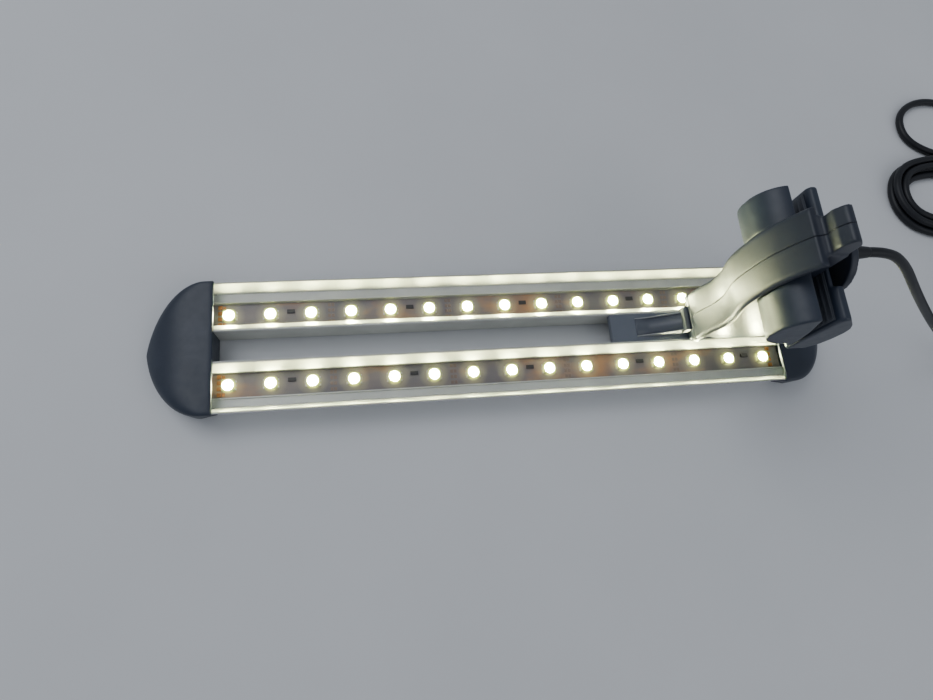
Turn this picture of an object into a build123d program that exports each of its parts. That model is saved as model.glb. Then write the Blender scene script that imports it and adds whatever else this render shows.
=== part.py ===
from build123d import *
import math
import os

# Clip-on LED aquarium light, lying on its back with the lamps up.
# Millimetres. +X runs along the light towards the clamp end, +Y across it, +Z up out of the lamps.
# The origin is under the middle of the light, on the surface that it lies on.

# ---- driving dimensions -------------------------------------------------------------------
LIGHT_HALF = 149.0          # half the length over the end caps
WINDOW_HALF = 121.5         # half the length of bar that shows between the caps
BAR_END = 125.5             # the bars run this far into the caps
CAP_HALF_WIDTH = 28.2
CAP_HEIGHT = 15.0
BAR_BACK = 1.2              # the bars' backs stand this far off the surface
RIM_Z = 13.0                # top of the bars' rims
FLOOR_Z = 6.0               # floor of the channel, under the LED strip
GAP_HALF = 6.3              # half the open gap between the two bars
STRIP_Y = 14.86             # centre of each LED strip
STRIP_WIDTH = 10.0
STRIP_THICK = 0.4
LED_COUNT = 15
LED_PITCH = 250.0 / 15
LED_SIZE = 5.0
LED_HEIGHT = 1.6
STRIP_TOP = FLOOR_Z + STRIP_THICK
LED_TOP = STRIP_TOP + LED_HEIGHT
FIT = 0.15                  # clearance all round between pieces that slot together

BRACKET_START = 45.0        # left end of the plate that fills the gap under the clamp
FLANGE_HALF = 10.5          # half the width of the neck's front face
CORE_HALF = 7.0             # half the width of the clamp's body behind that face
SEAM = 0.06                 # half the parting gap between the two shells
MOUTH_IN = 93.0             # water side of the glass
MOUTH_OUT = 100.4           # inner face of the outer leg
MOUTH_FLOOR = 55.0          # top of the bridge, where the glass rim stops
BOSS_Z = 80.4
BOSS_RADIUS = 12.0
LEG_OUT = 103.2             # outer face of the outer leg and its boss
JAW_HALF = 25.0             # half the width of both jaws
PAD_FACE = 93.5            # the sliding jaw's rubber face, with the jaw closed
PLATE_FACE = 94.2
PLATE_BACK = 95.8
PIN_Z = 66.0                # height of the sliding jaw's guide pin and spring
PIN_RADIUS = 2.5
SPRING_WIRE = 0.6
SPRING_RADIUS = 3.6
SPRING_TURNS = 5

CORD_RADIUS = 1.8
CORD_Z = 86.0               # the cord leaves the boss at this height
GLAND_END = 112.0
COIL_CENTRE = (250.0, 68.0)
COIL_OUTER = (42.0, 27.0)   # half length and half width of the coil
COIL_BAND = 15.0            # how wide the wound turns lie
COIL_HEIGHT = 7.4
ADAPTER_X = 265.0
ADAPTER_Y = (-22.0, 20.0)
ADAPTER_LEAD = (37.5, 8.8)  # where the lead enters its relief: Y and height
ADAPTER_HALF_WIDTH = 15.0
ADAPTER_HEIGHT = 24.0

nodes = {}


def keep(name, *solids):
    """Store one node: a solid, or a group of separate solids."""
    nodes[name] = solids[0] if len(solids) == 1 else Compound(children=list(solids))


def slab(points, y_low, y_high):
    """A plate with the XZ outline given, between two values of Y."""
    face = make_face(Polyline(*points, close=True))
    return Pos(0, y_high, 0) * extrude(Plane.XZ * face, amount=y_high - y_low)


def block(x_low, x_high, y_low, y_high, z_low, z_high):
    size = Box(x_high - x_low, y_high - y_low, z_high - z_low)
    return Pos((x_low + x_high) / 2, (y_low + y_high) / 2, (z_low + z_high) / 2) * size


def rod(radius, start, end):
    """A round bar between two points."""
    line = Vector(*end) - Vector(*start)
    return Plane(origin=start, z_dir=line) * Cylinder(
        radius, line.length, align=(Align.CENTER, Align.CENTER, Align.MIN))


def mirrored(solid):
    return mirror(solid, about=Plane.XZ)


# ---- the two aluminium bars ---------------------------------------------------------------
def bar_outline():
    """Cross-section of the bar on the +Y side: channel on top, box section below."""
    return [
        (GAP_HALF, BAR_BACK), (24.0, BAR_BACK), (27.5, RIM_Z), (26.8, RIM_Z),
        (24.1, 7.8), (20.7, 7.6), (20.7, 8.3), (20.2, 8.3), (20.2, FLOOR_Z),
        (9.7, FLOOR_Z), (9.9, 9.7), (7.2, RIM_Z), (GAP_HALF, RIM_Z),
    ]


def along_x(points, x_low, x_high):
    """Extrude a YZ outline along X."""
    face = make_face(Polyline(*points, close=True))
    return Pos(x_low, 0, 0) * extrude(Plane.YZ * face, amount=x_high - x_low)


def make_bar():
    body = along_x(bar_outline(), -BAR_END, BAR_END)
    hollow = along_x([(7.6, 2.4), (23.0, 2.4), (23.6, 4.8), (7.6, 4.8)], -BAR_END, BAR_END)
    return body - hollow


# ---- LED strips ---------------------------------------------------------------------------
def led_x(index):
    return (index - (LED_COUNT - 1) / 2) * LED_PITCH


def make_strip(side):
    """Flexible circuit of one row, with its lamps, their yellow faces and the resistors."""
    y = side * STRIP_Y
    name = "rear" if side > 0 else "front"
    half = STRIP_WIDTH / 2
    keep("led_strip_" + name, block(-125, 125, y - half, y + half, FLOOR_Z, STRIP_TOP))
    packages, faces, resistors = [], [], []
    for index in range(LED_COUNT):
        x = led_x(index)
        well = Cylinder(2.15, 0.5)
        package = Box(LED_SIZE, LED_SIZE, LED_HEIGHT)
        package = fillet(package.edges().filter_by(Axis.Z), 0.4)
        packages.append(Pos(x, y, STRIP_TOP + LED_HEIGHT / 2) * package
                        - Pos(x, y, LED_TOP) * well)
        faces.append(Pos(x, y, LED_TOP - 0.125) * Cylinder(2.15, 0.25))
        if index % 3 == 1:
            resistors.append(Pos(x + LED_PITCH / 2, y + 1.2, STRIP_TOP + 0.28) * Box(3.2, 1.6, 0.56))
    keep("led_packages_" + name, *packages)
    keep("led_faces_" + name, *faces)
    keep("resistors_" + name, *resistors)
    joints = [Pos(sign * 120.2, y + row * 2.5, STRIP_TOP + 0.3) * Box(1.6, 1.5, 0.6)
              for sign in (-1, 1) for row in (-1.5, -0.5, 0.5, 1.5)]
    keep("solder_joints_" + name, *joints)


# ---- end caps -----------------------------------------------------------------------------
def cap_blank():
    """Rounded cap of the +X end, before its socket is cut."""
    shoulder = (130.5, CAP_HALF_WIDTH)
    quarter = (140.6, 20.6)
    tip = (LIGHT_HALF, 0)
    outline = [
        Line((WINDOW_HALF, -CAP_HALF_WIDTH), (shoulder[0], -CAP_HALF_WIDTH)),
        ThreePointArc((shoulder[0], -CAP_HALF_WIDTH), (136.0, -25.3), (quarter[0], -quarter[1])),
        ThreePointArc((quarter[0], -quarter[1]), (146.4, -11.0), tip),
        ThreePointArc(tip, (146.4, 11.0), quarter),
        ThreePointArc(quarter, (136.0, 25.3), shoulder),
        Line(shoulder, (WINDOW_HALF, CAP_HALF_WIDTH)),
        Line((WINDOW_HALF, CAP_HALF_WIDTH), (WINDOW_HALF, -CAP_HALF_WIDTH)),
    ]
    plan = extrude(make_face(outline), amount=CAP_HEIGHT)
    side = make_face([
        Line((WINDOW_HALF, 0), (147.0, 0)),
        ThreePointArc((147.0, 0), (148.6, 0.8), (LIGHT_HALF, 2.4)),
        Line((LIGHT_HALF, 2.4), (LIGHT_HALF, 5.0)),
        Spline((LIGHT_HALF, 5.0), (147.6, 8.6), (143.4, 11.8), (136.0, 13.8), (128.0, CAP_HEIGHT),
               tangents=[(0, 1), (-1, 0)]),
        Line((128.0, CAP_HEIGHT), (WINDOW_HALF, CAP_HEIGHT)),
        Line((WINDOW_HALF, CAP_HEIGHT), (WINDOW_HALF, 0)),
    ])
    crown = Pos(0, 40, 0) * extrude(Plane.XZ * side, amount=80)
    section = fillet(Rectangle(2 * CAP_HALF_WIDTH, 2 * CAP_HEIGHT).vertices(), 2.6)
    foot = fillet(Rectangle(2 * CAP_HALF_WIDTH, 2 * CAP_HEIGHT).vertices(), 5.0)
    shoulders = extrude(Plane.YZ * section, amount=160)
    edge = Pos(0, 0, CAP_HEIGHT) * extrude(Plane.YZ * foot, amount=160)
    return plan & crown & shoulders & edge


def make_cap():
    """Cap of the +X end: socket for both bars and their strips, and a wiring space behind."""
    cap = cap_blank()
    socket_end = BAR_END + FIT
    grown = offset(make_face(Polyline(*bar_outline(), close=True)), amount=FIT)
    socket = Pos(WINDOW_HALF - 1, 0, 0) * extrude(Plane.YZ * grown, amount=socket_end - WINDOW_HALF + 1)
    slot = block(WINDOW_HALF - 1, socket_end, 9.6, 20.3, FLOOR_Z, STRIP_TOP + 0.3)
    cap -= socket + slot
    cap -= mirrored(socket) + mirrored(slot)
    cap -= block(BAR_END, 140, -18, 18, 2.2, 10.4)
    for side in (-1, 1):
        cap -= Pos(123.7, side * 16, 0.55) * Cylinder(2.1, 1.2)
    return cap


def make_cap_screws():
    """Four short screws that hold the caps to the backs of the bars."""
    screws = []
    for x in (-123.7, 123.7):
        for y in (-16, 16):
            screws.append(Pos(x, y, 0.55) * Cylinder(1.9, 0.9) + Pos(x, y, 2.2) * Cylinder(0.95, 2.6))
    return screws


def drill_cap_screws(bar):
    for x in (-123.7, 123.7):
        bar -= Pos(x, 16, 2) * Cylinder(1.0, 3)
    return bar


# ---- bracket in the gap -------------------------------------------------------------------
BASE_SCREW_X = (87.0, 108.0)


def make_bracket():
    """Plate flush with the rims, with a web that goes down between the bars."""
    plate = block(BRACKET_START, WINDOW_HALF - FIT, -6.15, 6.15, 10.0, RIM_Z)
    web = block(80, 118, -6.15, 6.15, BAR_BACK, 10.0)
    bracket = plate + web
    bracket -= block(95, 101, -3, 3, BAR_BACK, RIM_Z)
    for x in BASE_SCREW_X:
        bracket -= rod(1.6, (x, 0, 0), (x, 0, RIM_Z + 1))
    return bracket


def make_back_plate():
    """Strap across the backs of both bars, which the base screws pull up."""
    plate = block(78, 120, -17, 17, 0, BAR_BACK)
    plate = fillet(plate.edges().filter_by(Axis.Z), 3)
    for x in BASE_SCREW_X:
        plate -= rod(1.6, (x, 0, -1), (x, 0, 3))
        plate -= rod(3.1, (x, 0, -1), (x, 0, 0.9))
    return plate


def make_base_screws():
    screws = []
    for x in BASE_SCREW_X:
        screws.append(rod(1.45, (x, 0, 0.3), (x, 0, 22)) + rod(2.9, (x, 0, 0.1), (x, 0, 0.85)))
    return screws


def make_tongue():
    """Glossy ramp that carries the leads from the gap plate up into the neck's tip."""
    outline = [(56, RIM_Z), (62, 16.2), (77.4, 20.8), (77.4, RIM_Z)]
    return fillet(slab(outline, -4.2, 4.2).edges().filter_by(Axis.Y).sort_by(Axis.Z)[-1], 0.6)


def make_collar():
    """Raised band round the joint of ramp and neck."""
    band = slab([(74.7, 18.2), (76.9, 18.8), (76.9, 23.4), (75.8, 23.4), (74.7, 22.4)], -5.2, 5.2)
    return band - slab([(70, RIM_Z), (70, 18.9), (77.4, 20.9), (77.4, RIM_Z)], -4.3, 4.3)


# ---- clamp frame: two half shells ---------------------------------------------------------
NECK_FRONT = [(77.4, 21.2), (77.3, 31.0), (79.1, 40.5), (78.0, 51.5), (75.2, 61.5),
              (74.4, 73.0), (75.7, 84.5), (78.8, 93.2), (82.4, 99.8)]


def neck_face(depth):
    """Curved front wall of the neck, as thick as depth, seen from the side."""
    front = Spline(*NECK_FRONT)
    back = Spline(*[(x + depth, z) for x, z in NECK_FRONT])
    low = Line(front @ 0, back @ 0)
    high = Line(front @ 1, back @ 1)
    return make_face([front, high, back, low])


def frame_body():
    """Whole clamp frame: neck, bridge over the rim, inner leg with its nib, outer leg and boss."""
    flange = Pos(0, FLANGE_HALF, 0) * extrude(Plane.XZ * neck_face(2.6), amount=2 * FLANGE_HALF)
    front_edges = [edge for edge in flange.edges().filter_by(GeomType.BSPLINE)
                   if edge.center().X < 77.6]
    flange = fillet(front_edges, 1.7)
    core = slab([
        (80, RIM_Z), (116, RIM_Z), (115, 42), (109, MOUTH_FLOOR), (108, 60), (108, 73), (LEG_OUT, 77),
        (MOUTH_OUT, 77), (MOUTH_OUT, MOUTH_FLOOR), (MOUTH_IN, MOUTH_FLOOR), (MOUTH_IN, 99),
        (85, 100.4), (83.4, 99.6), (80.4, 93.2), (77.3, 84.5),
        (76.0, 73), (76.8, 61.5), (79.6, 51.5), (80.7, 40.5), (79, 31), (79, 20),
    ], -CORE_HALF, CORE_HALF)
    nib = slab([(85.8, 98), (85.8, 105.2), (88.2, 108.8), (90.2, 108.8), (92.8, 105.8), (92.8, 98)], -6.4, 6.4)
    nib = fillet([edge for edge in nib.edges().filter_by(Axis.Y) if edge.center().Z > 104], 1.6)
    leg = slab([(MOUTH_OUT, 56), (LEG_OUT, 56), (LEG_OUT, BOSS_Z), (MOUTH_OUT, BOSS_Z)],
               -BOSS_RADIUS, BOSS_RADIUS)
    boss = rod(BOSS_RADIUS, (MOUTH_OUT, 0, BOSS_Z), (LEG_OUT, 0, BOSS_Z))
    return flange + core + nib + leg + boss


def frame_cavities():
    """Space inside the shells for the leads, and the holes for what passes through."""
    bridge = slab([(83, 15.5), (112.5, 15.5), (111.8, 41), (106.5, 51.5), (87, 51.5), (83.5, 40)], -5, 5)
    for x in BASE_SCREW_X:
        bridge -= rod(2.8, (x, 0, RIM_Z), (x, 0, 24))
        bridge -= block(x - 2.8, x + 2.8, -5, 5, 15.4, 16.5)
    for x, z in SHELL_SCREWS[:2]:
        bridge -= rod(3, (x, -5, z), (x, 5, z))
    leg = slab([(80.5, 58), (90, 58), (90, 91), (84, 91), (79.5, 84), (78.6, 72)], -5, 5)
    for x, z in DOWELS:
        leg -= rod(3.5, (x, -5, z), (x, 5, z))
    cuts = bridge + leg
    cuts += rod(PIN_RADIUS + 0.05, (MOUTH_OUT - 1, 0, PIN_Z), (110, 0, PIN_Z))
    cuts += rod(4.5, (MOUTH_OUT - 1, 0, PIN_Z), (105, 0, PIN_Z))
    cuts += rod(3.05, (MOUTH_OUT - 1, 0, CORD_Z), (106, 0, CORD_Z))
    cuts += block(95, 101, -3, 3, RIM_Z - 1, 15.6)
    cuts += block(81.6, 90.4, -8, -4.6, 14.3, 16.0)
    cuts += block(81.6, 90.4, 4.6, 8, 14.3, 16.0)
    for x in BASE_SCREW_X:
        cuts += rod(1.5, (x, 0, RIM_Z - 1), (x, 0, 22.2))
    for x, z in SHELL_SCREWS:
        cuts += rod(1.3, (x, -4, z), (x, CORE_HALF + 1, z))
        cuts += rod(2.5, (x, CORE_HALF - 1.5, z), (x, CORE_HALF + 1, z))
    for x, z in DOWELS:
        cuts += rod(2.05, (x, -CORE_HALF - 1, z), (x, CORE_HALF + 1, z))
    return cuts


SHELL_SCREWS = ((89.5, 32.0), (106.0, 46.0), (89.0, 96.6))
DOWELS = ((84.5, 70.0), (84.5, 82.0))


def make_shells():
    body = frame_body() - frame_cavities()
    front = body & block(60, 130, -40, -SEAM, 0, 120)
    rear = body & block(60, 130, SEAM, 40, 0, 120)
    return front, rear


def make_shell_screws():
    return [rod(1.25, (x, -3.8, z), (x, CORE_HALF - 0.4, z))
            + rod(2.4, (x, CORE_HALF - 1.4, z), (x, CORE_HALF - 0.3, z)) for x, z in SHELL_SCREWS]


# ---- jaws ---------------------------------------------------------------------------------
def make_fixed_jaw():
    """Wide inner jaw on the +Y side of the neck, with its rounded nose towards the water."""
    nose = [
        Line((MOUTH_IN, 58.0), (90.0, 63.2)),
        ThreePointArc((90.0, 63.2), (78.6, 68.4), (76.5, 77.0)),
        ThreePointArc((76.5, 77.0), (79.3, 85.2), (86.3, 89.0)),
        Line((86.3, 89.0), (90.8, 75.5)),
        Line((90.8, 75.5), (MOUTH_IN, 65.5)),
        Line((MOUTH_IN, 65.5), (MOUTH_IN, 58.0)),
    ]
    wing = Pos(0, JAW_HALF, 0) * extrude(Plane.XZ * make_face(nose), amount=JAW_HALF - CORE_HALF - 0.1)
    recess = extrude(Plane.XZ * neck_face(3.0), amount=FLANGE_HALF + 0.3)
    wing -= Pos(0, FLANGE_HALF + 0.3, 0) * recess
    wing -= block(MOUTH_IN - 0.8, MOUTH_IN + 1, 9, 23, 59.0, 65.0)
    for x, z in DOWELS:
        wing -= rod(2.05, (x, CORE_HALF - 1, z), (x, 15, z))
    return wing


def make_moving_jaw():
    """Sliding outer jaw: two wings beside the outer leg, joined by a plate in front of it."""
    profile = [(PLATE_FACE, 55.5), (PLATE_FACE, 86.4), (95.4, 88.0), (97.4, 88.0), (103.5, 80.6), (105.3, 77.4),
               (106.3, 73.0), (106.4, 66.0), (105.4, 60.5), (102.4, 55.5)]
    inside = BOSS_RADIUS + 0.4
    wing = fillet(slab(profile, inside, JAW_HALF).edges(), 0.9)
    plate = block(PLATE_FACE, PLATE_BACK, -inside - 1.5, inside + 1.5, 57.0, 86.0)
    jaw = wing + mirrored(wing) + plate
    jaw -= rod(4.05, (94.0, 0, PIN_Z), (95.1, 0, PIN_Z))
    jaw -= rod(PIN_RADIUS + 0.05, (94.0, 0, PIN_Z), (97.0, 0, PIN_Z))
    return jaw


def make_jaw_pad():
    """Rubber facing of the sliding jaw."""
    return block(PAD_FACE, PLATE_FACE, -JAW_HALF + 1.5, JAW_HALF - 1.5, 57.5, 85.0)


def make_guide_pin():
    head = rod(3.95, (94.25, 0, PIN_Z), (95.05, 0, PIN_Z))
    shank = rod(PIN_RADIUS, (95.0, 0, PIN_Z), (108.4, 0, PIN_Z))
    thread = rod(1.5, (108.4, 0, PIN_Z), (111.4, 0, PIN_Z))
    return head + shank + thread


def make_pin_nut():
    """Nut on the pin's end, which stops the jaw at its closed place."""
    hexagon = extrude(RegularPolygon(3.6, 6), amount=2.4)
    nut = Pos(108.45, 0, PIN_Z) * Rot(0, 90, 0) * hexagon
    return nut - rod(1.55, (108, 0, PIN_Z), (112, 0, PIN_Z))


def make_spring():
    """Compression spring round the guide pin, between the jaw's plate and the outer leg."""
    start, end = PLATE_BACK + SPRING_WIRE / 2, 105.0 - SPRING_WIRE / 2
    length = end - start
    path = Helix(pitch=length / SPRING_TURNS, height=length, radius=SPRING_RADIUS)
    wire = sweep((path ^ 0) * Circle(SPRING_WIRE / 2), path=path, is_frenet=True)
    return Pos(start, 0, PIN_Z) * Rot(0, 90, 0) * wire


# ---- leads and wiring ---------------------------------------------------------------------
def make_leads():
    """Two leads in the bridge, from the cord's side down through the bracket to the gap."""
    leads = []
    for y in (-1.3, 1.3):
        path = FilletPolyline((98, y, 2.6), (98, y, 27), (94, y, 40), (94, y, 50), radius=4)
        leads.append(sweep((path ^ 0) * Circle(0.7), path=path))
    return leads


def make_cap_wires():
    """Short jumper wires in the right cap, from the wiring board to the two rows."""
    wires = []
    for side in (-1, 1):
        path = FilletPolyline((127.5, side * 15, 7.4), (133, side * 15, 7.4), (133, side * 7, 5.4), radius=2.5)
        wires.append(sweep((path ^ 0) * Circle(0.6), path=path))
    return wires


def make_wiring_board():
    return block(127, 137.5, -9, 9, 2.6, 4.2)


# ---- mains adapter and cord ---------------------------------------------------------------
ROUTE = [
    (GLAND_END, 0, CORD_Z), (120.5, 0, CORD_Z), (131, -2.5, 80), (146, -7, 66), (167, -10, 47),
    (189, -13, 28), (212, -18, 11), (236, -25, 1.9), (262, -31, 1.9), (288, -25, 1.9),
    (304, -3, 1.9), (310, 28, 1.9), (309, 59, 1.9), (301, 89, 1.9), (285, 113, 1.9),
    (265, 126, 1.9), (246, 128, 1.9), (232, 119, 1.9), (231, 104, 1.9), (243, 95, 1.9),
    (258, 92.5, 1.9),
]
TAIL = [(287, 60, 8.4), (279.5, 55, 9.2), (271.5, 50.5, 9.3), (266.5, 44.5, 9.1), (265, 37.5, 8.8)]


def turn_radii(points):
    """Largest arcs that the runs of a route leave room for."""
    corners = [Vector(*point) for point in points]
    radii = []
    for before, corner, after in zip(corners, corners[1:], corners[2:]):
        turn = math.radians((corner - before).get_angle(after - corner))
        shorter = min((corner - before).length, (after - corner).length)
        radii.append(0.45 * shorter / math.tan(turn / 2))
    return radii


def make_tube(name, points):
    radii = turn_radii(points)
    path = FilletPolyline(*points, radius=radii)
    tube = sweep((path ^ 0) * Circle(CORD_RADIUS), path=path)
    ratio = tube.volume / (math.pi * CORD_RADIUS ** 2 * path.length)
    print(name, "length", round(path.length, 1), "volume ratio", round(ratio, 4),
          "radii", [round(radius, 1) for radius in radii])
    return tube


def make_coil():
    """Outer shape of the loosely wound coil, round at both ends."""
    outer = SlotOverall(2 * COIL_OUTER[0], 2 * COIL_OUTER[1])
    inner = SlotOverall(2 * (COIL_OUTER[0] - COIL_BAND), 2 * (COIL_OUTER[1] - COIL_BAND))
    ring = extrude(outer - inner, amount=COIL_HEIGHT)
    ring = fillet(ring.edges(), 1.6)
    return Pos(COIL_CENTRE[0], COIL_CENTRE[1], 0.05) * ring


def make_gland():
    """Bush that holds the cord where it leaves the boss, with a short bend relief."""
    bush = rod(3.0, (MOUTH_OUT + 0.2, 0, CORD_Z), (LEG_OUT + 0.1, 0, CORD_Z))
    lip = rod(3.5, (LEG_OUT + 0.05, 0, CORD_Z), (LEG_OUT + 0.9, 0, CORD_Z))
    nose = Pos((LEG_OUT + GLAND_END) / 2, 0, CORD_Z) * Rot(0, 90, 0) * Cone(2.7, 2.1, GLAND_END - LEG_OUT)
    return bush + lip + nose


def make_adapter():
    """Small plug-in supply: body, cover, two round pins and the relief of its lead."""
    y_low, y_high = ADAPTER_Y
    x_low, x_high = ADAPTER_X - ADAPTER_HALF_WIDTH, ADAPTER_X + ADAPTER_HALF_WIDTH
    lower = block(x_low, x_high, y_low, y_high, 0, 14)
    lower = fillet(lower.edges().filter_by(Axis.Z), 5)
    lower = fillet(lower.faces().sort_by(Axis.Z)[0].edges(), 1.5)
    upper = block(x_low, x_high, y_low, y_high, 14.1, ADAPTER_HEIGHT)
    upper = fillet(upper.edges().filter_by(Axis.Z), 5)
    upper = fillet(upper.faces().sort_by(Axis.Z)[-1].edges(), 2.5)
    keep("adapter_base", lower)
    keep("adapter_cover", upper)
    pins = []
    for side in (-1, 1):
        x = ADAPTER_X + side * 9.5
        pin = rod(2.0, (x, 4, ADAPTER_HEIGHT), (x, 4, ADAPTER_HEIGHT + 19))
        pins.append(fillet(pin.faces().sort_by(Axis.Z)[-1].edges(), 1.2))
    keep("adapter_pins", *pins)
    nose_y, nose_z = ADAPTER_LEAD
    taper = Cone(3.6, 2.2, nose_y - y_high)
    keep("adapter_relief", Pos(ADAPTER_X, (y_high + nose_y) / 2, nose_z) * Rot(-90, 0, 0) * taper)


# ---- all nodes ----------------------------------------------------------------------------
bar = drill_cap_screws(make_bar())
keep("bar_rear", bar)
keep("bar_front", mirrored(bar))
make_strip(1)
make_strip(-1)
cap = make_cap()
keep("end_cap_right", cap)
keep("end_cap_left", mirror(cap, about=Plane.YZ))
keep("cap_screws", *make_cap_screws())
keep("gap_bracket", make_bracket())
keep("back_plate", make_back_plate())
keep("base_screws", *make_base_screws())
keep("neck_tongue", make_tongue())
keep("neck_collar", make_collar())
shell_front, shell_rear = make_shells()
keep("clamp_shell_front", shell_front)
keep("clamp_shell_rear", shell_rear)
keep("shell_screws", *make_shell_screws())
wing = make_fixed_jaw()
keep("fixed_jaw_rear", wing)
keep("fixed_jaw_front", mirrored(wing))
pad = block(MOUTH_IN - 0.8, MOUTH_IN, 9, 23, 59.0, 65.0)
keep("fixed_pads", pad, mirrored(pad))
keep("jaw_dowels", *[rod(2.0, (x, -14.5, z), (x, 14.5, z)) for x, z in DOWELS])
keep("moving_jaw", make_moving_jaw())
keep("jaw_pad", make_jaw_pad())
keep("jaw_guide_pin", make_guide_pin())
keep("pin_nut", make_pin_nut())
keep("jaw_spring", make_spring())
keep("lead_wires", *make_leads())
keep("cap_wires", *make_cap_wires())
keep("wiring_board", make_wiring_board())
keep("cord_gland", make_gland())
keep("power_cord", make_tube("power_cord", ROUTE))
keep("cord_coil", make_coil())
keep("cord_tail", make_tube("cord_tail", TAIL))
make_adapter()

os.makedirs("parts", exist_ok=True)
for name, shape in nodes.items():
    export_step(shape, "parts/" + name + ".step")
print(len(nodes), "nodes")
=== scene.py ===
"""Visual model of a clip-on aquarium light, built over the CAD parts of the frame."""
import math

import bmesh
import bpy
from mathutils import Matrix, Vector


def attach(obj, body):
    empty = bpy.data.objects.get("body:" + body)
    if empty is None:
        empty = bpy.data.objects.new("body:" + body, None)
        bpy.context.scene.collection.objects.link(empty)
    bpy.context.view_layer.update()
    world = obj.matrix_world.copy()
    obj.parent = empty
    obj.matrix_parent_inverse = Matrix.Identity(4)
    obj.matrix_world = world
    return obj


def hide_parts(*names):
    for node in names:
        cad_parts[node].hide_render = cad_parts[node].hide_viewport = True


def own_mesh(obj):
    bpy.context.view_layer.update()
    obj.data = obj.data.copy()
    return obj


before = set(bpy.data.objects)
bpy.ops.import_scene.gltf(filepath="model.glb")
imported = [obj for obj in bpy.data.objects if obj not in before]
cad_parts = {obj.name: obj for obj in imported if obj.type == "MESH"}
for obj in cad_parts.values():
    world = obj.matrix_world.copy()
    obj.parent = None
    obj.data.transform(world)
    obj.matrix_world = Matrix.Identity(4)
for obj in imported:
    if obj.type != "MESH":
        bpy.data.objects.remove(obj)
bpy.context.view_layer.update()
MM = 0.001

# ---- places and sizes in the frame, in millimetres -----------------------------------------
CAMERA_PLACE = (-60.48, -83.0, 271.46)
CAMERA_TARGET = (-17.58, -2.74, 0.0)
CAMERA_ROLL = 24.08           # degrees, turned about the line of sight
CAMERA_LENS = 25.08
FLOOR_HALF = 2500.0

LED_COUNT = 15
LED_PITCH = 250.0 / LED_COUNT
STRIP_Y = 14.86
STRIP_TOP = 6.4
LED_HEIGHT = 1.6
LED_TOP = STRIP_TOP + LED_HEIGHT
LED_FACE = 2.14               # radius of the lit face
LED_GLOW = 600.0              # how strongly the lamp faces shine
FACE_FADE = 2.25              # how far from a lamp's middle its face glows, and the painted glow of package and strip
PACKAGE_FADE = 4.0
STRIP_FADE = 6.5
TAB_REACH = 2.75              # metal tabs at both ends of a lamp
TAB_PITCH = 1.55
TAB_HALF = 0.45
CUT_EVERY = 3                 # lamps between two places where the strip may be cut
STRIP_PAD_PITCH = 2.4
ROWS = (("front", -1), ("rear", 1))

CORD_RADIUS = 1.8
ROUTE = [
    (112.0, 0, 86), (120.5, 0, 86), (131, -2.5, 80), (146, -7, 66), (167, -10, 47),
    (189, -13, 28), (212, -18, 11), (236, -25, 1.9), (262, -31, 1.9), (288, -25, 1.9),
    (304, -3, 1.9), (310, 28, 1.9), (309, 59, 1.9), (301, 89, 1.9), (285, 113, 1.9),
    (265, 126, 1.9), (246, 128, 1.9), (232, 119, 1.9), (231, 104, 1.9), (243, 95, 1.9),
    (258, 92.5, 1.9),
]
TAIL = [(287, 60, 8.4), (279.5, 55, 9.2), (271.5, 50.5, 9.3), (266.5, 44.5, 9.1), (265, 37.5, 8.8)]
CORD_LEVEL = 1.9              # height of the cord's middle where it lies on the floor
COIL_CENTRE = (250.0, 68.0)
COIL_STRAIGHT = 15.0          # half the straight part of each turn
COIL_OUTER = 24.9             # radii of the lower turns, outermost and innermost
COIL_INNER = 13.7
COIL_TOP_OUTER = 23.4
COIL_LIFT = 3.3               # how far the upper turns lie above the lower ones
COIL_END_RISE = 3.0           # how far the cord climbs again towards the adapter
COIL_FLOOR_SHARE = 0.57       # share of the coil that lies on the floor
COIL_STEPS = 82
COIL_TURN_START = 82.0        # degrees, where the cord joins the coil
COIL_TURN_END = -1820.0       # degrees, where it leaves for the adapter

GLAND_Z = 86.0
RELIEF_PLACE = (265.0, 0, 8.8)
SEAM_HALF = 0.09              # half the gap between the clamp shells
PLATE_TOP = 13.0              # top of the plate in the gap
TONGUE_START = 56.4
TONGUE_LENGTH = 20.9
TONGUE_LOW = 13.2
TONGUE_RISE = 7.3
DISH_HALF = 3.8
RAIL_INNER = 3.7
RAIL_OUTER = 4.2

PAD_RIBS = 11
PAD_RIB_PITCH = 2.53
GRIP_PITCH = 2.6

PIN_Z = 66.0
SPRING_START = 96.1
SPRING_END = 104.7
SPRING_RADIUS = 3.6
SPRING_WIRE = 0.3
SPRING_TURNS = 5.5
SPRING_STEPS = 24             # points in one turn
WIRE_SIDES = 8

SHELL_SCREWS = ((89.5, 32.0), (106.0, 46.0), (89.0, 96.6))
BASE_SCREWS = ((87.0, 0.0), (108.0, 0.0))
CAP_SCREWS = ((-123.7, -16.0), (-123.7, 16.0), (123.7, -16.0), (123.7, 16.0))
SHELL_HEAD = 2.35             # radii of the screws' heads
BASE_HEAD = 2.9
CAP_HEAD = 1.9

CAP_START = 121.5
CAP_LENGTH = 27.5
CAP_HALF_WIDTH = 28.1
CAP_TOP = 14.3
CAP_SHOULDER = 126.0          # from here its plan rounds off to the tip
CAP_RIM = 13.0                # its sides lean inwards below the bars' rims
CAP_LEAN = 3.0
CAP_LIP = 0.4                 # length of the rounded lip at its mouth
CAP_STEPS = 27
CHANNEL_END = 125.3           # the bars' channels go on into the caps up to here
CHANNELS = ((9.0, 24.0, 6.0, 8.5), (7.4, 26.6, 8.0, 13.1))


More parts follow.
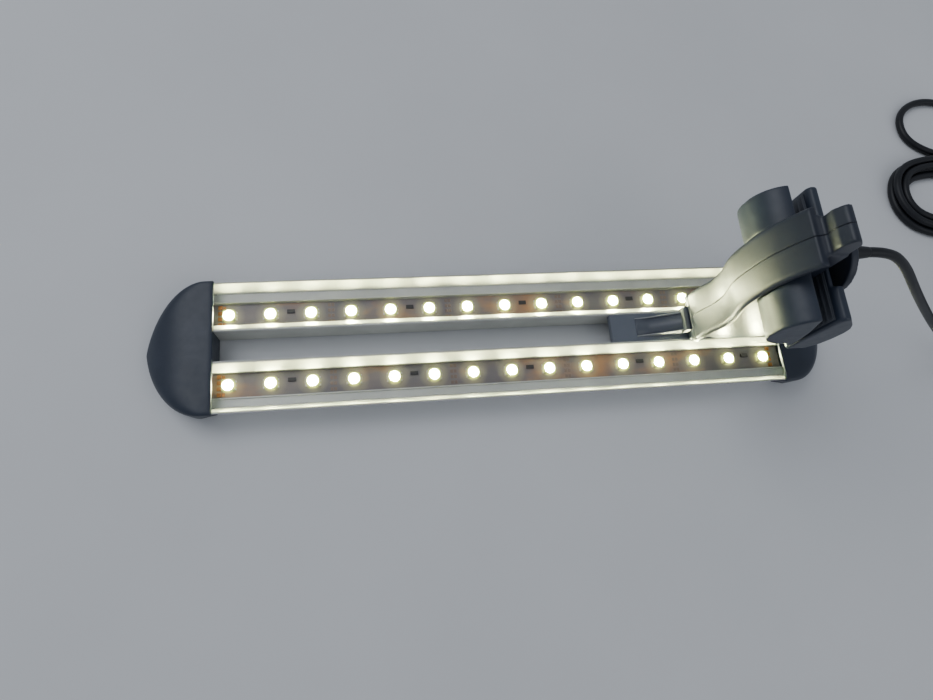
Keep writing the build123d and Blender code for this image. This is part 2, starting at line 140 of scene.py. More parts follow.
# ---- material tools ------------------------------------------------------------------------
def new_material(name, **values):
    """A material whose main shader has the given socket values; returns material, tree, shader."""
    material = bpy.data.materials.new(name)
    material.use_nodes = True
    tree = material.node_tree
    shader = tree.nodes["Principled BSDF"]
    for socket, value in values.items():
        shader.inputs[socket.replace("_", " ")].default_value = value
    return material, tree, shader


def object_points(tree, scale=(1, 1, 1)):
    """Object coordinates, stretched by scale."""
    source = tree.nodes.new("ShaderNodeTexCoord")
    mapping = tree.nodes.new("ShaderNodeMapping")
    mapping.inputs["Scale"].default_value = scale
    tree.links.new(source.outputs["Object"], mapping.inputs["Vector"])
    return mapping.outputs["Vector"]


def noise(tree, points, scale, detail=3.0, roughness=0.55):
    """A cloudy value between 0 and 1."""
    node = tree.nodes.new("ShaderNodeTexNoise")
    node.inputs["Scale"].default_value = scale
    node.inputs["Detail"].default_value = detail
    node.inputs["Roughness"].default_value = roughness
    tree.links.new(points, node.inputs["Vector"])
    return node.outputs["Fac"]


def ramp(tree, value, stops):
    """A colour ramp through (place, colour) stops."""
    node = tree.nodes.new("ShaderNodeValToRGB")
    elements = node.color_ramp.elements
    while len(elements) < len(stops):
        elements.new(0.5)
    for element, (place, colour) in zip(elements, stops):
        element.position = place
        element.color = (*colour, 1)
    tree.links.new(value, node.inputs["Fac"])
    return node.outputs["Color"]


def spread(tree, value, low, high):
    """Map 0..1 onto low..high."""
    node = tree.nodes.new("ShaderNodeMapRange")
    node.inputs["To Min"].default_value = low
    node.inputs["To Max"].default_value = high
    tree.links.new(value, node.inputs["Value"])
    return node.outputs["Result"]


def maths(tree, operation, *values):
    """One math node on numbers or sockets."""
    node = tree.nodes.new("ShaderNodeMath")
    node.operation = operation
    for socket, value in zip(node.inputs, values):
        if isinstance(value, (int, float)):
            socket.default_value = value
        else:
            tree.links.new(value, socket)
    return node.outputs["Value"]


def bump(tree, shader, height, strength, distance, rounding=0.0):
    """Surface relief from a height, over edges that look rounded off by the given radius."""
    node = tree.nodes.new("ShaderNodeBump")
    node.inputs["Strength"].default_value = strength
    node.inputs["Distance"].default_value = distance
    tree.links.new(height, node.inputs["Height"])
    if rounding:
        edge = tree.nodes.new("ShaderNodeBevel")
        edge.samples = 4
        edge.inputs["Radius"].default_value = rounding
        tree.links.new(edge.outputs["Normal"], node.inputs["Normal"])
    tree.links.new(node.outputs["Normal"], shader.inputs["Normal"])


# ---- materials -----------------------------------------------------------------------------
def plastic(name, dark, light, rough, grain, rounding=0.0004, flow=(1, 1, 1)):
    """Moulded plastic: cloudy colour, fine grain, and flow marks stretched along one axis."""
    material, tree, shader = new_material(name)
    cloud = noise(tree, object_points(tree), 60, 4)
    tree.links.new(ramp(tree, cloud, [(0.3, dark), (0.7, light)]), shader.inputs["Base Color"])
    marks = noise(tree, object_points(tree, flow), 320, 3)
    tree.links.new(spread(tree, marks, rough - 0.07, rough + 0.09), shader.inputs["Roughness"])
    fine = noise(tree, object_points(tree), 2600, 2)
    height = maths(tree, "ADD", maths(tree, "MULTIPLY", fine, 0.35), marks)
    bump(tree, shader, height, grain, 0.00012, rounding)
    return material


def brushed(name, colour, rough, strength=0.25, metallic=1.0, axis=(0.04, 1, 1), rounding=0.00015):
    """Drawn metal with fine lines along one axis."""
    material, tree, shader = new_material(name, Metallic=metallic)
    lines = noise(tree, object_points(tree, axis), 2400, 3)
    smudge = noise(tree, object_points(tree), 45, 3)
    dim = tuple(0.8 * part for part in colour)
    tree.links.new(ramp(tree, smudge, [(0.3, dim), (0.7, colour)]), shader.inputs["Base Color"])
    tree.links.new(spread(tree, lines, rough - 0.08, rough + 0.12), shader.inputs["Roughness"])
    bump(tree, shader, lines, strength, 0.00006, rounding)
    return material


def rubber(name, colour, rough=0.62, shine=0.5):
    """Dull soft rubber with paler clouds and a fine grain."""
    material, tree, shader = new_material(name, Specular_IOR_Level=shine)
    cloud = noise(tree, object_points(tree), 120, 5)
    pale = tuple(1.7 * part for part in colour)
    tree.links.new(ramp(tree, cloud, [(0.35, colour), (0.75, pale)]), shader.inputs["Base Color"])
    tree.links.new(spread(tree, cloud, rough - 0.1, rough + 0.12), shader.inputs["Roughness"])
    bump(tree, shader, noise(tree, object_points(tree), 1800, 3), 0.25, 0.0001, 0.0002)
    return material


def led_distance(tree):
    """Distance in metres from the middle of the nearest lamp, seen from above."""
    split = tree.nodes.new("ShaderNodeSeparateXYZ")
    tree.links.new(object_points(tree), split.inputs["Vector"])
    pitch = LED_PITCH * MM
    along = maths(tree, "WRAP", split.outputs["X"], pitch / 2, -pitch / 2)
    across = maths(tree, "SUBTRACT", maths(tree, "ABSOLUTE", split.outputs["Y"]), STRIP_Y * MM)
    square = maths(tree, "ADD", maths(tree, "MULTIPLY", along, along),
                   maths(tree, "MULTIPLY", across, across))
    return maths(tree, "SQRT", square)


def strip_film():
    """Copper circuit under a dull film, with browner and more orange patches, and a painted glow round each
    lamp.
    """
    material, tree, shader = new_material("strip_film", Coat_Weight=0.25, Coat_Roughness=0.3)
    patches = noise(tree, object_points(tree, (0.6, 1, 1)), 60, 3)
    colours = [(0.34, (0.16, 0.15, 0.165)), (0.56, (0.22, 0.185, 0.185)), (0.72, (0.46, 0.25, 0.13))]
    # painted glow: faint yellow-green emission on the film round each lamp, standing in for lamp light
    # spilling onto it
    painted_halo = ramp(tree, maths(tree, "DIVIDE", led_distance(tree), STRIP_FADE * MM),
                [(0.40, (0.62, 0.62, 0.22)), (0.56, (0.13, 0.125, 0.06)), (1.0, (0, 0, 0))])
    tree.links.new(painted_halo, shader.inputs["Emission Color"])
    shader.inputs["Emission Strength"].default_value = 0.9
    tree.links.new(ramp(tree, patches, colours), shader.inputs["Base Color"])
    tree.links.new(spread(tree, patches, 0.3, 0.5), shader.inputs["Roughness"])
    bump(tree, shader, noise(tree, object_points(tree, (1, 3, 1)), 500, 2), 0.2, 0.00008)
    return material


def led_body():
    """Lamp package: a painted bloom glows round the lit well and its corners stay dull."""
    material, tree, shader = new_material("led_body", Roughness=0.5)
    # painted bloom: a ring of emission round the lit face, standing in for the lamp's glare
    glow = ramp(tree, maths(tree, "DIVIDE", led_distance(tree), PACKAGE_FADE * MM),
                [(0.56, (1.0, 1.0, 0.35)), (0.66, (0.46, 0.55, 0.05)), (0.78, (0.08, 0.09, 0.02)),
                 (1.0, (0, 0, 0))])
    tree.links.new(glow, shader.inputs["Emission Color"])
    shader.inputs["Emission Strength"].default_value = 3.2
    fine = noise(tree, object_points(tree), 900, 2)
    tree.links.new(ramp(tree, fine, [(0.2, (0.30, 0.28, 0.24)), (0.8, (0.38, 0.36, 0.31))]),
                   shader.inputs["Base Color"])
    bump(tree, shader, fine, 0.1, 0.00005, 0.0002)
    return material


def led_light():
    """Lit phosphor: white heart with a yellow-green edge."""
    material, tree, shader = new_material("led_light", Roughness=0.3)
    glow = ramp(tree, maths(tree, "DIVIDE", led_distance(tree), FACE_FADE * MM),
                [(0.7, (0.97, 1.0, 0.58)), (1.0, (0.93, 1.0, 0.30))])
    tree.links.new(glow, shader.inputs["Emission Color"])
    shader.inputs["Emission Strength"].default_value = LED_GLOW
    grain = noise(tree, object_points(tree), 1500, 2)
    tree.links.new(ramp(tree, grain, [(0.3, (0.85, 0.7, 0.1)), (0.7, (0.95, 0.82, 0.2))]),
                   shader.inputs["Base Color"])
    return material


MATERIALS = {
    "aluminium": brushed("aluminium", (0.70, 0.71, 0.66), 0.50, metallic=0.35),
    "strip": strip_film(),
    "led_body": led_body(),
    "led_face": led_light(),
    "resistor": plastic("resistor_black", (0.03, 0.03, 0.033), (0.06, 0.055, 0.055), 0.4, 0.1, 0.0001),
    "solder": brushed("solder", (0.78, 0.76, 0.72), 0.28, 0.5, 1.0, (1, 1, 1)),
    "black_plastic": plastic("cap_plastic", (0.018, 0.026, 0.043), (0.026, 0.036, 0.057), 0.42, 0.16, 0.0006),
    "copper": brushed("copper_pad", (0.62, 0.25, 0.08), 0.32, 0.3, 0.7, (1, 1, 1)),
    "dull_pad": brushed("dull_pad", (0.27, 0.20, 0.17), 0.42, 0.3, 0.3, (1, 1, 1)),
    # tongue: dark gloss plastic made paler, with painted haze from the lamps over it
    "gloss_black": plastic("gloss_plastic_painted_haze", (0.085, 0.096, 0.120), (0.100, 0.112, 0.138), 0.34, 0.05, 0.0003),
    "clamp_plastic": plastic("clamp_plastic", (0.015, 0.020, 0.033), (0.022, 0.028, 0.045), 0.38, 0.22,
                             0.0007, (1, 1, 0.12)),
    "screw": brushed("screw_steel", (0.62, 0.62, 0.62), 0.3, 0.3, 1.0, (1, 1, 1)),
    # bracket: black plastic made paler, with painted haze from the lamps over it
    "bracket_plastic_painted_haze": plastic("bracket_plastic_painted_haze", (0.120, 0.135, 0.168), (0.140, 0.157, 0.193), 0.45, 0.08),
    # rails: a pale copy of the tongue's plastic, a painted highlight along their edges
    "rail_painted_highlight": plastic("rail_painted_highlight", (0.30, 0.31, 0.32), (0.36, 0.37, 0.38), 0.3, 0.05),
    "rubber": rubber("pad_rubber", (0.038, 0.044, 0.056)),
    "spring": brushed("spring_steel", (0.66, 0.66, 0.68), 0.25, 0.2, 1.0, (1, 1, 1)),
    "cable": rubber("cable_jacket", (0.008, 0.009, 0.012), 0.42, 0.35),
    "wire": rubber("wire_red", (0.22, 0.01, 0.008), 0.45),
    "board": plastic("board_green", (0.01, 0.09, 0.03), (0.02, 0.14, 0.05), 0.4, 0.1),
    "adapter": plastic("adapter_plastic", (0.012, 0.013, 0.016), (0.02, 0.021, 0.025), 0.5, 0.5, 0.0005),
    "pins": brushed("pin_nickel", (0.76, 0.73, 0.66), 0.22, 0.2, 1.0, (1, 1, 0.05)),
}

NODE_SLOTS = {
    "aluminium": ("bar_front", "bar_rear"),
    "strip": ("led_strip_front", "led_strip_rear"),
    "solder": ("solder_joints_front", "solder_joints_rear"),
    "resistor": ("resistors_front", "resistors_rear"),
    "black_plastic": ("end_cap_left", "end_cap_right", "gap_bracket", "fixed_jaw_front", "fixed_jaw_rear",
                      "moving_jaw"),
    "gloss_black": ("neck_tongue",),
    "clamp_plastic": ("clamp_shell_front", "clamp_shell_rear", "neck_collar"),
    "screw": ("cap_screws", "base_screws", "back_plate", "shell_screws", "jaw_dowels", "jaw_guide_pin",
              "pin_nut"),
    "rubber": ("fixed_pads", "jaw_pad", "cord_gland", "adapter_relief"),
    "spring": ("jaw_spring",),
    "wire": ("lead_wires", "cap_wires"),
    "board": ("wiring_board",),
    "adapter": ("adapter_base", "adapter_cover"),
    "pins": ("adapter_pins",),
    "led_body": ("led_packages_front", "led_packages_rear"),
    "led_face": ("led_faces_front", "led_faces_rear"),
    "cable": ("power_cord", "cord_coil", "cord_tail"),
}


def dress_cad_nodes():
    """Give every CAD node its finish."""
    for slot, names in NODE_SLOTS.items():
        for name in names:
            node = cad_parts[name]
            node.data.materials.clear()
            node.data.materials.append(MATERIALS[slot])
    for name in NODE_SLOTS["solder"]:
        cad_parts[name].data.materials[0] = MATERIALS["copper"]
    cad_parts["gap_bracket"].data.materials[0] = MATERIALS["bracket_plastic_painted_haze"]


# ---- mesh tools ----------------------------------------------------------------------------
def add_piece(name, mesh, slot, body, *replaced, finish=None):
    """Link a finished mesh or curve as a piece that rides on a body."""
    piece = bpy.data.objects.new(name, mesh)
    bpy.context.scene.collection.objects.link(piece)
    mesh.materials.append(MATERIALS[finish or slot])
    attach(piece, body)
    if replaced:
        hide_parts(*replaced)
    return piece


def mesh_from(name, build, *details, smooth=True):
    """Make a mesh with a function that fills a bmesh in millimetres, given any further details."""
    shape = bmesh.new()
    build(shape, *details)
    bmesh.ops.recalc_face_normals(shape, faces=shape.faces)
    bmesh.ops.scale(shape, vec=(MM, MM, MM), verts=shape.verts)
    mesh = bpy.data.meshes.new(name)
    shape.to_mesh(mesh)
    shape.free()
    if smooth:
        mesh.shade_smooth()
    return mesh


def skin(shape, rings):
    """Join rings of points into a closed tube with flat ends."""
    for low, high in zip(rings, rings[1:]):
        for here in range(len(low)):
            after = (here + 1) % len(low)
            shape.faces.new((low[here], low[after], high[after], high[here]))
    shape.faces.new(rings[0])
    shape.faces.new(rings[-1])


def add_box(shape, low, high, rounding=0.0, segments=2):
    """Add a box with rounded edges."""
    made = bmesh.ops.create_cube(shape, size=1.0)["verts"]
    size = Vector(high) - Vector(low)
    bmesh.ops.scale(shape, vec=size, verts=made)
    bmesh.ops.translate(shape, vec=(Vector(high) + Vector(low)) / 2, verts=made)
    if rounding:
        edges = {edge for vert in made for edge in vert.link_edges}
        bmesh.ops.bevel(shape, geom=list(edges), offset=rounding, segments=segments, profile=0.5,
                        affect="EDGES")


def add_lathe(shape, profile, place, axis="Z", steps=24):
    """Turn a closed-end profile of (radius, height) pairs round an axis through place."""
    turn = {"Z": Matrix.Identity(3), "X": Matrix.Rotation(math.pi / 2, 3, "Y"),
            "Y": Matrix.Rotation(-math.pi / 2, 3, "X")}[axis]
    rings = []
    for radius, height in profile:
        ring = []
        for step in range(steps):
            angle = 2 * math.pi * step / steps
            point = Vector((radius * math.cos(angle), radius * math.sin(angle), height))
            ring.append(shape.verts.new(turn @ point + Vector(place)))
        rings.append(ring)
    skin(shape, rings)


def apply_modifiers(piece):
    """Bake a piece's modifiers into its mesh."""
    graph = bpy.context.evaluated_depsgraph_get()
    made = bpy.data.meshes.new_from_object(piece.evaluated_get(graph))
    piece.modifiers.clear()
    piece.data = made


def cut_away(piece, build, *details):
    """Cut the solids that build makes out of a piece."""
    cutter = bpy.data.objects.new("cutter", mesh_from("cutter", build, *details, smooth=False))
    bpy.context.scene.collection.objects.link(cutter)
    cut = piece.modifiers.new("Cut", "BOOLEAN")
    cut.operation = "DIFFERENCE"
    cut.solver = "EXACT"
    cut.use_self = True
    cut.object = cutter
    apply_modifiers(piece)
    bpy.data.objects.remove(cutter)


def crease(piece, degrees):
    """Keep the edges that are sharper than an angle crisp."""
    crisp = piece.modifiers.new("Crisp", "EDGE_SPLIT")
    crisp.split_angle = math.radians(degrees)
    apply_modifiers(piece)


def led_x(index):
    """Place of a lamp along its row."""
    return (index - (LED_COUNT - 1) / 2) * LED_PITCH


def moulded_mesh(nodes, voxel, rounds):
    """CAD nodes melted into one closed mesh, with its edges softened all round."""
    shape = bmesh.new()
    for node in nodes:
        shape.from_mesh(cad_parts[node].data)
    mesh = bpy.data.meshes.new("moulding")
    shape.to_mesh(mesh)
    shape.free()
    helper = bpy.data.objects.new("moulding", mesh)
    bpy.context.scene.collection.objects.link(helper)
    remesh = helper.modifiers.new("Remesh", "REMESH")
    remesh.mode = "VOXEL"
    remesh.voxel_size = voxel * MM
    soften = helper.modifiers.new("Smooth", "SMOOTH")
    soften.factor = 0.5
    soften.iterations = rounds
    apply_modifiers(helper)
    mesh = helper.data
    bpy.data.objects.remove(helper)
    mesh.shade_smooth()
    return mesh


def half_mesh(whole, side, gap):
    """The part of a mesh on one side of Y = 0, closed where it is cut, a fine gap off that plane."""
    shape = bmesh.new()
    shape.from_mesh(whole)
    cut = bmesh.ops.bisect_plane(shape, geom=[*shape.verts, *shape.edges, *shape.faces],
                                 plane_co=(0, side * gap * MM, 0), plane_no=(0, side, 0), clear_inner=True)
    rim = [element for element in cut["geom_cut"] if isinstance(element, bmesh.types.BMEdge)]
    bmesh.ops.triangle_fill(shape, edges=rim, use_beauty=True)
    mesh = bpy.data.meshes.new("half")
    shape.to_mesh(mesh)
    shape.free()
    mesh.shade_smooth()
    return mesh


# ---- camera, floor and lights --------------------------------------------------------------
def make_camera():
    """A wide camera above the light, rolled about its line of sight."""
    data = bpy.data.cameras.new("camera")
    data.lens = CAMERA_LENS
    data.sensor_width = 36
    data.clip_start = 0.01
    data.clip_end = 10
    camera = bpy.data.objects.new("camera", data)
    bpy.context.scene.collection.objects.link(camera)
    place = Vector(CAMERA_PLACE) * MM
    sight = Vector(CAMERA_TARGET) * MM - place
    camera.location = place
    turn = sight.to_track_quat("-Z", "Y").to_matrix() @ Matrix.Rotation(math.radians(CAMERA_ROLL), 3, "Z")
    camera.rotation_euler = turn.to_euler()
    bpy.context.scene.camera = camera


def make_floor():
    """A plain pale floor."""
    def build(shape):
        bmesh.ops.create_grid(shape, x_segments=8, y_segments=8, size=FLOOR_HALF)

    mesh = mesh_from("floor", build, smooth=False)
    floor = bpy.data.objects.new("floor", mesh)
    bpy.context.scene.collection.objects.link(floor)
    material, tree, shader = new_material("floor", Roughness=0.6)
    cloud = noise(tree, object_points(tree), 9, 4)
    tree.links.new(ramp(tree, cloud, [(0.3, (0.68, 0.69, 0.71)), (0.7, (0.72, 0.73, 0.75))]),
                   shader.inputs["Base Color"])
    mesh.materials.append(material)


def add_area(name, place, target, size, power, colour):
    """A square lamp of the studio, turned to its target; places and size in metres."""
    data = bpy.data.lights.new(name, "AREA")
    data.size = size
    data.energy = power
    data.color = colour
    light = bpy.data.objects.new(name, data)
    bpy.context.scene.collection.objects.link(light)
    light.location = place
    light.rotation_euler = (Vector(target) - Vector(place)).to_track_quat("-Z", "Y").to_euler()


def make_lights():
    """Two soft lamps and an even sky."""
    add_area("key", (-0.7, 0.6, 1.3), (0, 0, 0), 1.0, 7.6, (0.93, 0.96, 1.0))
    add_area("fill", (0.9, -0.9, 1.0), (0, 0, 0.03), 1.2, 3.0, (0.95, 0.97, 1.0))
    world = bpy.data.worlds.new("studio")
    world.use_nodes = True
    background = world.node_tree.nodes["Background"]
    background.inputs["Color"].default_value = (0.80, 0.86, 0.95, 1)
    background.inputs["Strength"].default_value = 0.38
    bpy.context.scene.world = world


# ---- cord ----------------------------------------------------------------------------------
def coil_points():
    """Turns of the coil: three on the floor going inwards, two more on top going outwards."""
    points = []
    for step in range(1, COIL_STEPS):
        share = step / COIL_STEPS
        angle = math.radians(COIL_TURN_START + (COIL_TURN_END - COIL_TURN_START) * share)
        if share < COIL_FLOOR_SHARE:
            radius = COIL_OUTER + (COIL_INNER - COIL_OUTER) * share / COIL_FLOOR_SHARE
            height = CORD_LEVEL
        else:
            top = (share - COIL_FLOOR_SHARE) / (1 - COIL_FLOOR_SHARE)
            radius = COIL_INNER + (COIL_TOP_OUTER - COIL_INNER) * top
            climb = COIL_LIFT * min(1.0, top / 0.14)
            height = CORD_LEVEL + climb + COIL_END_RISE * max(0.0, (top - 0.90) / 0.10)
        wander = 0.5 * math.sin(2.3 * angle) + 0.35 * math.sin(0.37 * angle + 1)
        straight = COIL_STRAIGHT * math.tanh(2.5 * math.cos(angle))
        points.append((COIL_CENTRE[0] + straight + (radius + wander * 0.4) * math.cos(angle),
                       COIL_CENTRE[1] + (radius - wander * 0.3) * math.sin(angle), height))
    return points


def ribbed_taper(start, end, wide, narrow, ribs):
    """Lathe profile of a bend relief: rings with grooves between them."""
    profile = []
    for rib in range(ribs):
        for place, share in ((0.08, 1.0), (0.58, 1.0), (0.66, 0.80), (0.98, 0.80)):
            along = (rib + place) / ribs
            profile.append(((wide + (narrow - wide) * along) * share, start + (end - start) * along))
    return profile


def build_gland(shape):
    """Bush in the clamp's boss, with a smooth sleeve round the cord."""
    flange = [(2.6, 100.7), (2.9, 100.9), (2.9, 103.3), (3.3, 103.3), (3.5, 103.5), (3.4, 104.0)]
    sleeve = [(2.9, 104.2), (2.8, 106.0), (2.3, 108.5), (2.0, 111.6), (1.9, 112.0)]
    add_lathe(shape, flange + sleeve, (0, 0, GLAND_Z), "X")


def build_relief(shape):
    """Ribbed bend relief where the cord enters the adapter."""
    collar = [(4.3, 19.8), (4.6, 20.1), (4.6, 21.2), (4.2, 21.7)]
    add_lathe(shape, collar + ribbed_taper(21.8, 37.5, 3.7, 2.3, 7), RELIEF_PLACE, "Y")


def make_cord():
    """The whole cord as one line, from the gland to the adapter's relief."""
    points = ROUTE + coil_points() + TAIL
    curve = bpy.data.curves.new("cord", "CURVE")
    curve.dimensions = "3D"
    line = curve.splines.new("NURBS")
    line.points.add(len(points) - 1)
    for point, place in zip(line.points, points):
        point.co = (*(Vector(place) * MM), 1)
    line.order_u = 3
    line.use_endpoint_u = True
    line.resolution_u = 8
    curve.bevel_depth = CORD_RADIUS * MM
    curve.bevel_resolution = 5
    curve.use_fill_caps = True
    cord = add_piece("cord", curve, "cable", "lamp", "power_cord", "cord_coil", "cord_tail")
    gland = add_piece("gland", mesh_from("gland", build_gland), "rubber", "lamp", "cord_gland",
                      finish="cable")
    relief = add_piece("relief", mesh_from("relief", build_relief), "rubber", "lamp", "adapter_relief",
                       finish="cable")


# ---- LED rows ------------------------------------------------------------------------------
def add_led_tabs(shape, side):
    """Three metal tabs at both ends of every lamp in a row."""
    for index in range(LED_COUNT):
        for end in (-TAB_REACH, TAB_REACH):
            for place in (-TAB_PITCH, 0, TAB_PITCH):
                x, y = led_x(index) + end, side * STRIP_Y + place
                add_box(shape, (x - TAB_HALF, y - TAB_HALF, STRIP_TOP - 0.02),
                        (x + TAB_HALF, y + TAB_HALF, STRIP_TOP + 0.28), 0.1, 1)


def add_led_domes(shape, side):
    """Slightly domed lit faces of a row."""
    profile = [(LED_FACE, LED_TOP - 0.3), (LED_FACE, LED_TOP - 0.12), (1.6, LED_TOP - 0.05),
               (0.8, LED_TOP - 0.02)]
    for index in range(LED_COUNT):
        add_lathe(shape, profile, (led_x(index), side * STRIP_Y, 0), "Z", 28)


def make_led_rows():
    """Metal tabs and lit faces of the lamps."""
    for row_name, side in ROWS:
        add_piece("led_tabs_" + row_name, mesh_from("led_tabs", add_led_tabs, side, smooth=False), "solder",
                  "lamp")
        add_piece("led_domes_" + row_name, mesh_from("led_domes", add_led_domes, side), "led_face", "lamp",
                  "led_faces_" + row_name)


def add_strip_pads(shape, x, side):
    """Four square pads across a strip."""
    for place in (-1.5, -0.5, 0.5, 1.5):
        y = side * STRIP_Y + place * STRIP_PAD_PITCH
        add_box(shape, (x - 0.6, y - 0.7, STRIP_TOP - 0.03), (x + 0.6, y + 0.7, STRIP_TOP + 0.05), 0.03, 1)


def add_cut_pads(shape, side):
    """Pads on both sides of every place where the strip may be cut."""
    for cut in range(CUT_EVERY, LED_COUNT, CUT_EVERY):
        for end in (-0.75, 0.75):
            add_strip_pads(shape, (cut - LED_COUNT / 2) * LED_PITCH + end, side)


def add_end_pads(shape, side):
    """Pads at the strip's left end."""
    for x in (-118.6, -120.6):
        add_strip_pads(shape, x, side)


def make_strip_pads():
    """Dull pads where the strips may be cut, and bright ones at their left ends."""
    for row_name, side in ROWS:
        add_piece("cut_pads_" + row_name, mesh_from("cut_pads", add_cut_pads, side, smooth=False), "strip",
                  "lamp", finish="dull_pad")
        add_piece("end_pads_" + row_name, mesh_from("end_pads", add_end_pads, side, smooth=False), "strip",
                  "lamp", finish="copper")


# ---- clamp, tongue, pads and screws --------------------------------------------------------
def tongue_height(share):
    """Top of the ramp's rails, from its left tip to the collar."""
    return TONGUE_LOW + TONGUE_RISE * share ** 1.35


def add_ramp(shape, outline_at):
    """A solid along the ramp: outline_at gives its YZ outline at each share of the length."""
    stations = 40
    rings = []
    for station in range(stations + 1):
        share = station / stations
        x = TONGUE_START + TONGUE_LENGTH * share
        rings.append([shape.verts.new((x, y, z)) for y, z in outline_at(share)])
    skin(shape, rings)


def dish_outline(share):
    """Section of the ramp: a shallow dish on a flat base."""
    rail = tongue_height(share)
    low = rail - min(0.8, 0.6 * (rail - 13.1))
    return ((-DISH_HALF, PLATE_TOP), (-DISH_HALF, low + 0.2), (0, low), (DISH_HALF, low + 0.2),
            (DISH_HALF, PLATE_TOP))


def add_rails(shape):
    """Thin raised rails along both edges of the ramp."""
    for side in (-1, 1):
        inner, middle, outer = side * RAIL_INNER, side * (RAIL_INNER + RAIL_OUTER) / 2, side * RAIL_OUTER

        def outline(share):
            top = tongue_height(share)
            return ((inner, PLATE_TOP), (inner, top - 0.1), (middle, top), (outer, top - 0.1),
                    (outer, PLATE_TOP))

        add_ramp(shape, outline)


def make_tongue():
    """Dark dished ramp and its rails, pale with a painted highlight."""
    add_piece("tongue", mesh_from("tongue", add_ramp, dish_outline), "gloss_black", "lamp", "neck_tongue")
    # the rails' pale finish is a painted highlight
    add_piece("tongue_rails", mesh_from("tongue_rails", add_rails, smooth=False), "gloss_black", "lamp",
              finish="rail_painted_highlight")


def make_tip_band():
    """Plain raised band across the neck's lower end."""
    def build(shape):
        add_box(shape, (76.7, -10.2, 21.5), (78.2, 10.2, 24.6), 0.4, 3)

    add_piece("neck_tip_band", mesh_from("tip_band", build), "clamp_plastic", "lamp")


def make_pads():
    """Rubber facings with cross ribs."""
    def moving(shape):
        add_box(shape, (93.8, -23.5, 57.5), (94.2, 23.5, 85.0), 0.1, 1)
        for rib in range(PAD_RIBS):
            z = 58.6 + PAD_RIB_PITCH * rib
            add_box(shape, (93.5, -23.2, z - 0.6), (94.0, 23.2, z + 0.6), 0.2, 2)

    def fixed(shape):
        for side in (-1, 1):
            add_box(shape, (92.2, side * 16 - 7, 59.0), (92.8, side * 16 + 7, 65.0), 0.1, 1)
            for rib in range(3):
                z = 60 + 2 * rib
                add_box(shape, (92.6, side * 16 - 6.8, z - 0.5), (93.0, side * 16 + 6.8, z + 0.5), 0.15, 2)

    add_piece("ribbed_jaw_pad", mesh_from("jaw_pad", moving), "rubber", "jaw", "jaw_pad")
    add_piece("ribbed_fixed_pads", mesh_from("fixed_pads", fixed), "rubber", "lamp", "fixed_pads")


def add_spring(shape):
    """A wire helix with its end turns closed up."""
    count = int(SPRING_TURNS * SPRING_STEPS) + 1
    rings = []
    for step in range(count):
        angle = 2 * math.pi * step / SPRING_STEPS
        turns = SPRING_TURNS * step / (count - 1)
        rise = min(max((turns - 0.5) / (SPRING_TURNS - 1), 0.0), 1.0)
        out = Vector((0, math.cos(angle), math.sin(angle)))
        middle = Vector((SPRING_START + (SPRING_END - SPRING_START) * rise, 0, PIN_Z)) + SPRING_RADIUS * out
        ring = []
        for side in range(WIRE_SIDES):
            turn = 2 * math.pi * side / WIRE_SIDES
            edge = math.cos(turn) * out + Vector((math.sin(turn), 0, 0))
            ring.append(shape.verts.new(middle + SPRING_WIRE * edge))
        rings.append(ring)
    skin(shape, rings)


def make_spring():
    """Compression spring round the guide pin, which on the real clamp is squeezed as the jaw opens; here it
    rides fixed on the lamp body.
    """
    spring = add_piece("coil_spring", mesh_from("spring", add_spring), "spring", "lamp", "jaw_spring")
    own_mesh(spring)


def make_grips():
    """Finger ribs on two sides of the supply's base."""
    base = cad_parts["adapter_base"]
    corners = [base.matrix_world @ Vector(corner) / MM for corner in base.bound_box]
    low = [min(corner[axis] for corner in corners) for axis in range(3)]
    high = [max(corner[axis] for corner in corners) for axis in range(3)]
    middle = (low[1] + high[1]) / 2

    def build(shape):
        for edge in (low[0], high[0]):
            for rib in range(-3, 4):
                y = middle + GRIP_PITCH * rib
                add_box(shape, (edge - 0.4, y - 0.6, low[2] + 3.5), (edge + 0.4, y + 0.6, high[2] - 2.5),
                        0.3, 2)

    add_piece("adapter_grips", mesh_from("grips", build), "adapter", "lamp")


def screw_profile(radius, face, thick, shank, tip):
    """Lathe profile of a screw from its head's face to its tip; thick is signed along the axis."""
    return [(0.55 * radius, face), (0.85 * radius, face + 0.12 * thick), (radius, face + 0.45 * thick),
            (radius, face + thick), (shank, face + thick), (shank, tip), (0.4 * shank, tip + 0.3 * thick)]


def make_screws():
    """All the screws, with crossed recesses in their heads."""
    def screws(shape):
        for x, y in BASE_SCREWS:
            add_lathe(shape, screw_profile(BASE_HEAD, 0.1, 0.75, 1.4, 21.8), (x, y, 0))
        for x, y in CAP_SCREWS:
            add_lathe(shape, screw_profile(CAP_HEAD, 0.1, 0.85, 0.95, 3.2), (x, y, 0))
        for x, z in SHELL_SCREWS:
            add_lathe(shape, screw_profile(SHELL_HEAD, 6.7, -1.0, 1.2, -3.4), (x, 0, z), "Y")

    def crosses(shape):
        for places, radius in ((BASE_SCREWS, BASE_HEAD), (CAP_SCREWS, CAP_HEAD)):
            long, wide = 0.55 * radius, 0.13 * radius
            for x, y in places:
                add_box(shape, (x - long, y - wide, -0.5), (x + long, y + wide, 0.5))
                add_box(shape, (x - wide, y - long, -0.5), (x + wide, y + long, 0.5))
        for x, z in SHELL_SCREWS:
            add_box(shape, (x - 1.3, 6.2, z - 0.3), (x + 1.3, 7.2, z + 0.3))
            add_box(shape, (x - 0.3, 6.2, z - 1.3), (x + 0.3, 7.2, z + 1.3))

    piece = add_piece("cross_head_screws", mesh_from("screws", screws, smooth=False), "screw", "lamp",
                      "base_screws", "cap_screws", "shell_screws")
    cut_away(piece, crosses)


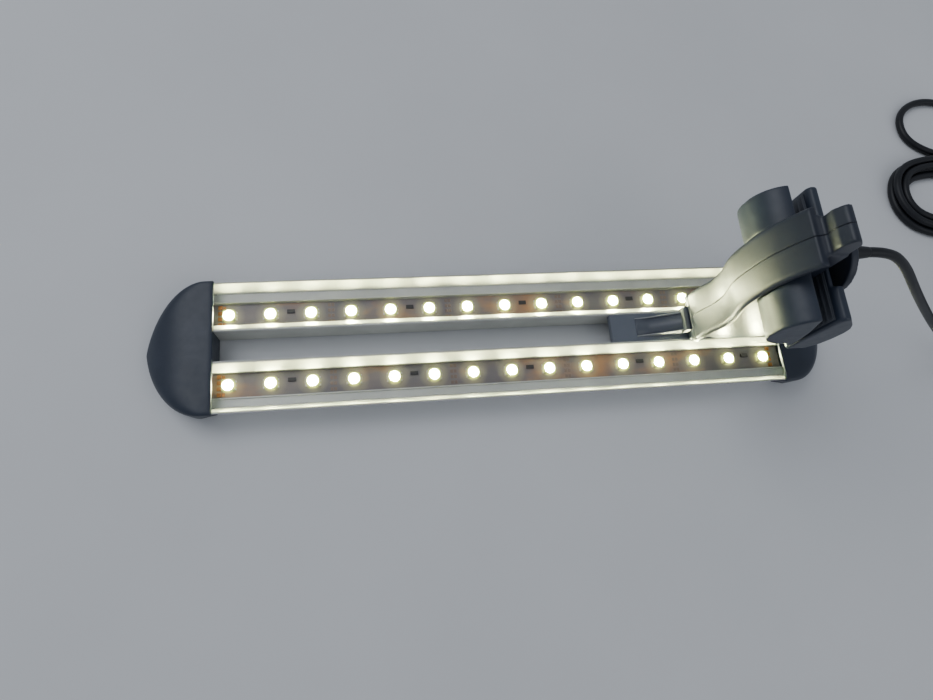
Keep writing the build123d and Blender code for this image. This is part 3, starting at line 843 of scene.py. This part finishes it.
def make_mouldings():
    """Clamp shells, parted by a fine seam, and the jaws, all with soft edges."""
    whole = moulded_mesh(["clamp_shell_front", "clamp_shell_rear"], 0.40, 5)
    for row_name, side in ROWS:
        half = add_piece("moulded_shell_" + row_name, half_mesh(whole, side, SEAM_HALF), "clamp_plastic",
                         "lamp", "clamp_shell_" + row_name)
        crease(half, 60)
    for row_name, side in ROWS:
        node = "fixed_jaw_" + row_name
        add_piece("moulded_nose_" + row_name, moulded_mesh([node], 0.42, 6), "black_plastic", "lamp", node)
    add_piece("moulded_jaw", moulded_mesh(["moving_jaw"], 0.42, 5), "black_plastic", "jaw", "moving_jaw")


def cap_section(x, grow=0.0):
    """Outline of the cap across its length: flat below, leaning sides, a squarish arch above."""
    share = (x - CAP_START) / CAP_LENGTH
    round_share = max(0.0, (x - CAP_SHOULDER) / (CAP_START + CAP_LENGTH - CAP_SHOULDER))
    half = CAP_HALF_WIDTH * (1 - round_share ** 2) ** 0.6 + grow
    top = CAP_TOP * (1 - 0.66 * share ** 3.2) + grow
    squareness = 0.05 + 0.38 * round_share
    lean = CAP_LEAN * (1 - 0.5 * min(1.0, (x - CAP_START) / 7))
    outline = []
    for step in range(49):
        angle = math.pi * step / 48
        wide, high = math.cos(angle), max(0.0, math.sin(angle))
        z = top * high ** squareness
        narrowing = 1 - lean * max(0.0, 1 - z / CAP_RIM) / CAP_HALF_WIDTH
        outline.append((narrowing * half * math.copysign(abs(wide) ** squareness, wide), z))
    return outline


def add_cap(shape, side):
    """A closed dome from the bars' mouth to the tip, with a small rounded lip."""
    stations = [(0.0, -0.35), (0.12, -0.12), (CAP_LIP, 0.0)]
    for step in range(1, CAP_STEPS):
        share = math.sin(math.pi / 2 * step / (CAP_STEPS - 0.6))
        stations.append((CAP_LIP + (CAP_LENGTH - CAP_LIP - 0.05) * share, 0.0))
    rings = []
    for along, grow in stations:
        x = CAP_START + along
        rings.append([shape.verts.new((side * x, y, max(z, 0.05))) for y, z in cap_section(x, grow)])
    skin(shape, rings)


def add_channels(shape, side):
    """The room in a cap that carries on the bars' open channels."""
    x_low, x_high = sorted((side * (CAP_START - 1), side * CHANNEL_END))
    for row in (-1, 1):
        for y_inner, y_outer, z_low, z_high in CHANNELS:
            y_low, y_high = sorted((row * y_inner, row * y_outer))
            add_box(shape, (x_low, y_low, z_low), (x_high, y_high, z_high))


def make_caps():
    """Smooth domed end caps."""
    for name, side in (("left", -1), ("right", 1)):
        piece = add_piece("domed_cap_" + name, mesh_from("cap", add_cap, side), "black_plastic", "lamp",
                          "end_cap_" + name)
        cut_away(piece, add_channels, side)
        crease(piece, 50)


# ---- the model -----------------------------------------------------------------------------
make_camera()
make_floor()
make_lights()
dress_cad_nodes()
make_cord()
make_led_rows()
make_strip_pads()
make_tongue()
make_tip_band()
make_pads()
make_screws()
make_mouldings()
make_caps()
make_spring()
make_grips()
